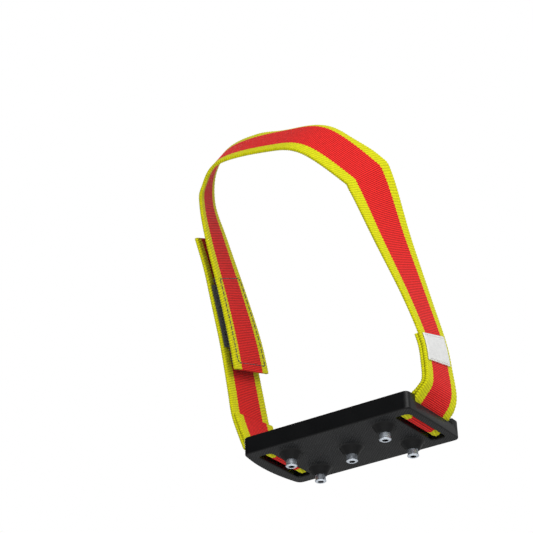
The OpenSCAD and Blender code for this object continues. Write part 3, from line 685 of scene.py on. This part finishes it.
def moulded_polyurethane():
    """Charcoal polyurethane, injection moulded in a tool with a milled floor: smooth on the walls, satin
    under the plate, with a diagonal grain there. The walls are painted darker by half, as painted shade, and
    the underside greyer, as painted light, with its grain painted lighter on the crests than in the hollows.
    Its real lines are about 0.6 mm apart, drawn 0.9 mm apart to show."""
    made, tree = material("polyurethane_moulded_charcoal")
    where = add(tree, "TexCoord")
    place = add(tree, "SeparateXYZ", {0: where.outputs["Object"]})
    surface = add(tree, "NewGeometry")
    facing = add(tree, "SeparateXYZ", {0: surface.outputs["True Normal"]})
    below = add(tree, "MapRange", {0: facing.outputs[2], 1: -0.9, 2: -0.98})
    # The sum of x and y grows by the pitch times the root of 2 from one diagonal line to the next
    diagonal = add(tree, "Math", {0: place.outputs[0], 1: place.outputs[1]}, operation="ADD")
    turn = add(tree, "Math", {0: diagonal.outputs[0], 1: 2 * math.pi / (GRAIN_PITCH * MM * math.sqrt(2))},
               operation="MULTIPLY")
    line = add(tree, "Math", {0: turn.outputs[0]}, operation="SINE")
    grained = add(tree, "Math", {0: line.outputs[0], 1: below.outputs[0]}, operation="MULTIPLY")
    mottle = add(tree, "TexNoise", {"Vector": where.outputs["Object"], "Scale": 1 / (9 * MM), "Detail": 4.0})
    spark = add(tree, "TexNoise", {"Vector": where.outputs["Object"], "Scale": 1 / (0.5 * MM), "Detail": 2.0})
    body = add(tree, "Mix", {0: mottle.outputs[0], 6: linear("#0e0f11"), 7: linear("#151618")},
               data_type="RGBA")
    # Painted light and shade: walls darkened by half, the underside paler, its grain lighter on the crests
    # than in the hollows
    grain_crest_painted_light = add(tree, "MapRange", {0: grained.outputs[0], 1: -1.0, 2: 1.0, 3: -0.25, 4: 1.25})
    paler = add(tree, "Math", {0: below.outputs[0], 1: 0.75, 2: grain_crest_painted_light.outputs[0]}, operation="MULTIPLY_ADD")
    colour = add(tree, "Mix", {0: 1.0, 6: body.outputs[2], 7: paler.outputs[0]},
                 data_type="RGBA", blend_type="MULTIPLY")
    smooth = add(tree, "MapRange", {0: mottle.outputs[0], 1: 0.3, 2: 0.7, 3: 0.32, 4: 0.4})
    rough = add(tree, "Math", {0: below.outputs[0], 1: 0.2, 2: smooth.outputs[0]}, operation="MULTIPLY_ADD")
    height = add(tree, "Math", {0: spark.outputs[0], 1: 0.25, 2: grained.outputs[0]},
                 operation="MULTIPLY_ADD")
    bump = add(tree, "Bump", {"Strength": 0.6, "Distance": 0.1 * MM, "Height": height.outputs[0]})
    shader = add(tree, "BsdfPrincipled", {
        "Base Color": colour.outputs[2], "Roughness": rough.outputs[0], "Specular IOR Level": 0.2,
        "Normal": bump.outputs[0]})
    return ended(made, tree, shader)


def zinc_plated_steel():
    """Turned steel, zinc plated with a blue passivate: bluish white and satin, with turning lines 0.12 mm
    apart and plating that is cloudy every 1.5 mm or so. Inside the socket, where the weave attribute is 1,
    it is painted near black as painted shade."""
    made, tree = material("steel_turned_zinc_plated")
    where = add(tree, "TexCoord")
    turning = add(tree, "Mapping", {0: where.outputs["Object"], "Scale": (60.0, 60.0, 1 / (0.12 * MM))})
    lines = add(tree, "TexNoise", {"Vector": turning.outputs[0], "Scale": 1.0, "Detail": 2.0})
    cloud = add(tree, "TexNoise", {"Vector": where.outputs["Object"], "Scale": 1 / (1.5 * MM), "Detail": 3.0})
    colour = add(tree, "Mix", {0: cloud.outputs[0], 6: linear("#c3ccd8"), 7: linear("#e9eef4")},
                 data_type="RGBA")
    # Painted shade: where weave is 1, inside the socket, the colour is mixed to near black
    inside = add(tree, "Attribute", attribute_name="weave")
    plated = add(tree, "Mix", {0: inside.outputs["Fac"], 6: colour.outputs[2], 7: linear("#17181a")},
                 data_type="RGBA")
    rough = add(tree, "MapRange", {0: cloud.outputs[0], 1: 0.3, 2: 0.7, 3: 0.46, 4: 0.58})
    bump = add(tree, "Bump", {"Strength": 0.25, "Distance": 0.02 * MM, "Height": lines.outputs[0]})
    shader = add(tree, "BsdfPrincipled", {
        "Base Color": plated.outputs[2], "Metallic": 1.0, "Roughness": rough.outputs[0],
        "Normal": bump.outputs[0]})
    return ended(made, tree, shader)


def turned_brass():
    """Brass bar, turned and left bare inside the plate: yellow and shiny, with fine turning lines and
    a little tarnish."""
    made, tree = material("brass_turned")
    where = add(tree, "TexCoord")
    turning = add(tree, "Mapping", {0: where.outputs["Object"], "Scale": (60.0, 60.0, 1 / (0.15 * MM))})
    lines = add(tree, "TexNoise", {"Vector": turning.outputs[0], "Scale": 1.0, "Detail": 2.0})
    tarnish = add(tree, "TexNoise", {"Vector": where.outputs["Object"], "Scale": 1 / (2 * MM), "Detail": 3.0})
    colour = add(tree, "Mix", {0: tarnish.outputs[0], 6: linear("#a5823c"), 7: linear("#d9b968")},
                 data_type="RGBA")
    bump = add(tree, "Bump", {"Strength": 0.3, "Distance": 0.02 * MM, "Height": lines.outputs[0]})
    shader = add(tree, "BsdfPrincipled", {
        "Base Color": colour.outputs[2], "Metallic": 1.0, "Roughness": 0.3, "Normal": bump.outputs[0]})
    return ended(made, tree, shader)


# The pieces, each on its body but the folds of webbing, which ride on none

webbing_finish = polyester_webbing()
label_finish = satin_label()
red_thread = sewing_thread("polyester_thread_red", "#b5171a")
pale_thread = sewing_thread("polyester_thread_white", "#d9d9d6")
black_thread = sewing_thread("polyester_thread_black", "#26272a")
hook_finish = nylon_tape("nylon_hook_tape_woven", "#3a3b3e", "#1b1c1e", 0.6)
pile_finish = nylon_tape("nylon_loop_pile_napped", "#4a4b4f", "#1c1d1f", 1.0)
zinc = zinc_plated_steel()
brass = turned_brass()


def belongs(piece, body, slot, *nodes):
    """Lets a piece ride on a body, and hides the frame's nodes that it stands for. The slot of its finish is
    not used.
    """
    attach(piece, body)
    if nodes:
        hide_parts(*nodes)
    return piece


def strap_run(name, path, low, high, body, node, curl_marks=None):
    """A stretched length of webbing that rides on one body and stands for one node."""
    piece = webbing(name, path, low, high, webbing_finish, curl_marks)
    belongs(piece, body, "webbing", node)


def strap_fold(name, path, low, high, node):
    """A length of webbing that turns with a fold, rides on no body, and stands for one node."""
    piece = webbing(name, path, low, high, webbing_finish)
    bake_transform(piece)
    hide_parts(node)


belongs(moulded_plate(moulded_polyurethane()), "plate", "moulded_plate", "sole_plate")
for stud_name in STUD_NAMES:
    low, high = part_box(stud_name)
    place = [(low[k] + high[k]) / 2 / MM for k in range(2)]
    belongs(stud("turned_" + stud_name, place, zinc), "plate", "stud_steel", stud_name)
    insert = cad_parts[stud_name.replace("stud", "insert")]
    insert.data.materials.clear()
    insert.data.materials.append(brass)

# The long strap, from its returned end round the outer bar and over the top to its tail
strap = long_strap_path()
label_at = length_at(strap, LABEL_MARK)
label_low, label_high = label_at - LABEL_HEIGHT / 2, label_at + LABEL_HEIGHT / 2
back_top = length_at(strap, -mark_at(strap, label_high + RETURN_REACH))
knee_back, knee_front = length_at(strap, -KNEE_MARK), length_at(strap, KNEE_MARK)
shoulder = length_at(strap, OUTER_SHOULDER_MARK)
inner_shoulder = length_at(strap, INNER_SHOULDER_MARK)
fold_top, fold_low = inner_shoulder - FOLD_REACH, inner_shoulder + FOLD_REACH
tail_end = length_at_height(strap, TAIL_END_HEIGHT, INNER_SHOULDER_MARK)

strap_run("outer_return_webbing", strap, back_top, knee_back, "long_strap", "outer_return_end")
strap_fold("outer_loop_webbing", strap, knee_back, knee_front,
           "outer_anchor_loop")
strap_run("outer_side_webbing", strap, knee_front, shoulder, "long_strap", "outer_strap_run")
strap_run("instep_webbing", strap, shoulder, fold_top, "long_strap", "instep_strap_run", CURL_MARKS)
strap_fold("tail_webbing", strap, fold_top, tail_end,
           "strap_tail")

piece = sewn_band("satin_label", strap, label_low, label_high, LABEL_WIDTH, FACE + SEWN_GAP,
                  LABEL_THICKNESS - LABEL_CROWN, label_finish, LABEL_CROWN, LABEL_SHIFT)
belongs(piece, "long_strap", "woven_label", "woven_label")
label_sides = [LABEL_SHIFT - LABEL_WIDTH / 2 + LABEL_SEAM_ENDS,
               LABEL_SHIFT + LABEL_WIDTH / 2 - LABEL_SEAM_ENDS]
seams = [[(at, aside) for aside in label_sides]
         for at in (label_low + LABEL_SEAM_IN, label_high - LABEL_SEAM_IN)]
piece = stitches("label_stitches", strap, seams, FACE + SEWN_GAP + LABEL_THICKNESS, pale_thread,
                 LABEL_STITCH_PITCH)
belongs(piece, "long_strap", "woven_label")

loop_end = tail_end - LOOP_SETBACK
loop_start = loop_end - LOOP_LENGTH
piece = sewn_band("loop_tape", strap, loop_start, loop_end, PATCH_WIDTH, FACE + SEWN_GAP, LOOP_TAPE_THICKNESS,
                  pile_finish)
belongs(piece, "tail", "loop_pile", "loop_patch")
piece = loop_pile("loop_pile_field", strap, loop_start, loop_end, FACE + SEWN_GAP + LOOP_TAPE_THICKNESS,
                  pile_finish)
belongs(piece, "tail", "loop_pile")
patch_half = PATCH_WIDTH / 2 - PATCH_SEAM_IN
seams = frame_of_stitches(loop_start + PATCH_SEAM_IN, loop_end - PATCH_SEAM_IN, patch_half)
belongs(stitches("loop_tape_stitches", strap, seams, -FACE, black_thread), "tail", "loop_pile")

# The short strap, from its pull tab down to the inner bar and back up to its returned end
short = short_strap_path()
tab_fold = length_at_height(short, TAB_HEIGHT, 0)
tab_top, tab_low = tab_fold - TAB_LENGTH, tab_fold + FOLD_REACH
lip_in, lip_out = length_at(short, LAST_SHORT_MARK - LIP_MARK), length_at(short, LAST_SHORT_MARK + LIP_MARK)
return_top = length_at(short, 2 * LAST_SHORT_MARK - SHORT_RETURN_MARK)

strap_fold("pull_tab_webbing", short, tab_top, tab_low,
           "pull_tab")
strap_run("inner_side_webbing", short, tab_low, lip_in, "short_strap", "inner_strap_run")
strap_fold("inner_loop_webbing", short, lip_in, lip_out,
           "inner_anchor_loop")
strap_run("inner_return_webbing", short, lip_out, return_top, "short_strap", "inner_return_end")

hook_start = tab_fold + HOOK_SETBACK
hook_end = hook_start + HOOK_LENGTH
piece = sewn_band("hook_tape", short, hook_start, hook_end, PATCH_WIDTH, -FACE - SEWN_GAP,
                  -HOOK_TAPE_THICKNESS, hook_finish)
belongs(piece, "short_strap", "hook_tape", "hook_patch")
piece = hook_field("hook_field", short, hook_start, hook_end, -FACE - SEWN_GAP - HOOK_TAPE_THICKNESS,
                   hook_finish)
belongs(piece, "short_strap", "hook_tape")
seams = frame_of_stitches(hook_start + PATCH_SEAM_IN, hook_end - PATCH_SEAM_IN, patch_half)
belongs(stitches("hook_tape_stitches", short, seams, FACE, red_thread), "short_strap", "webbing")
sewn_at = length_at(short, SHORT_RETURN_MARK)
seams = frame_of_stitches(sewn_at + RETURN_SEAM_FROM, sewn_at + RETURN_SEAM_TO, HALF_WIDTH - RETURN_SEAM_IN)
belongs(stitches("inner_return_stitches", short, seams, FACE, red_thread), "short_strap", "webbing")


# Floor, light and camera

def soft_light(name, place, size, power):
    """A square white soft box that looks at the middle of the object."""
    lamp = bpy.data.lights.new(name, "AREA")
    lamp.size = size
    lamp.energy = power
    made = linked(name, lamp)
    made.location = place
    made.rotation_euler = (Vector(LIGHT_TARGET) - Vector(place)).to_track_quat("-Z", "Y").to_euler()


def pale_floor():
    """A round plain floor, well below the object, because the camera looks up at the plate."""
    mesh = bpy.data.meshes.new("floor")
    turn = np.linspace(0, 2 * math.pi, FLOOR_SIDES, endpoint=False)
    ring = np.stack([FLOOR_RADIUS * np.cos(turn), FLOOR_RADIUS * np.sin(turn),
                     np.full(FLOOR_SIDES, FLOOR_HEIGHT)], 1)
    mesh.from_pydata(ring.tolist(), [], [list(range(FLOOR_SIDES))])
    finish, tree = material("floor_paper_white")
    grain = add(tree, "TexNoise", {"Scale": 40.0, "Detail": 3.0})
    tone = add(tree, "Mix", {0: grain.outputs[0], 6: linear("#f1f1f0"), 7: linear("#f6f6f5")},
               data_type="RGBA")
    ended(finish, tree, add(tree, "BsdfPrincipled", {"Base Color": tone.outputs[2], "Roughness": 0.9}))
    mesh.materials.append(finish)
    linked("floor", mesh)


def studio_world():
    """White to the camera. As a light it is bright on the outer side of the object and falls away round to
    the inner side, as in a room with one big window."""
    world = bpy.data.worlds.new("studio_white")
    world.use_nodes = True
    tree = world.node_tree
    tree.nodes.clear()
    path = add(tree, "LightPath")
    where = add(tree, "TexCoord")
    towards = add(tree, "VectorMath", {0: where.outputs["Generated"], 1: WINDOW_DIRECTION},
                  operation="DOT_PRODUCT")
    window = add(tree, "MapRange", {0: towards.outputs["Value"], 1: -0.7, 2: 1.0, 3: 0.06, 4: 0.8})
    strength = add(tree, "Mix", {0: path.outputs["Is Camera Ray"], 2: window.outputs[0], 3: 1.0})
    backdrop = add(tree, "Background", {"Color": linear("#ffffff"), "Strength": strength.outputs[0]})
    add(tree, "OutputWorld", {"Surface": backdrop.outputs[0]})
    bpy.context.scene.world = world


def photo_camera():
    """A camera in front of the plate and below it, looking up: turned by azimuth, raised by elevation and
    rolled about its view."""
    azimuth, elevation, roll = np.radians(CAMERA_ANGLES)
    right = np.array([np.cos(azimuth), np.sin(azimuth), 0])
    back = np.array([np.sin(azimuth) * np.cos(elevation), -np.cos(azimuth) * np.cos(elevation),
                     np.sin(elevation)])
    up = np.cross(back, right)
    right, up = np.cos(roll) * right + np.sin(roll) * up, np.cos(roll) * up - np.sin(roll) * right
    data = bpy.data.cameras.new("photo_camera")
    data.sensor_width = SENSOR_WIDTH
    data.lens = SENSOR_WIDTH * FOCAL_PIXELS / PHOTO_PIXELS
    data.clip_start = 10 * MM
    turned = np.eye(4)
    turned[:3] = np.stack([right, up, back, np.array(CAMERA_PLACE) * MM], 1)
    made = linked("photo_camera", data)
    made.matrix_world = Matrix(turned.tolist())
    bpy.context.scene.camera = made


pale_floor()
studio_world()
for box_name, (place, size, power) in SOFT_BOXES.items():
    soft_light(box_name, place, size, power)
photo_camera()
bpy.context.scene.view_settings.view_transform = "Standard"
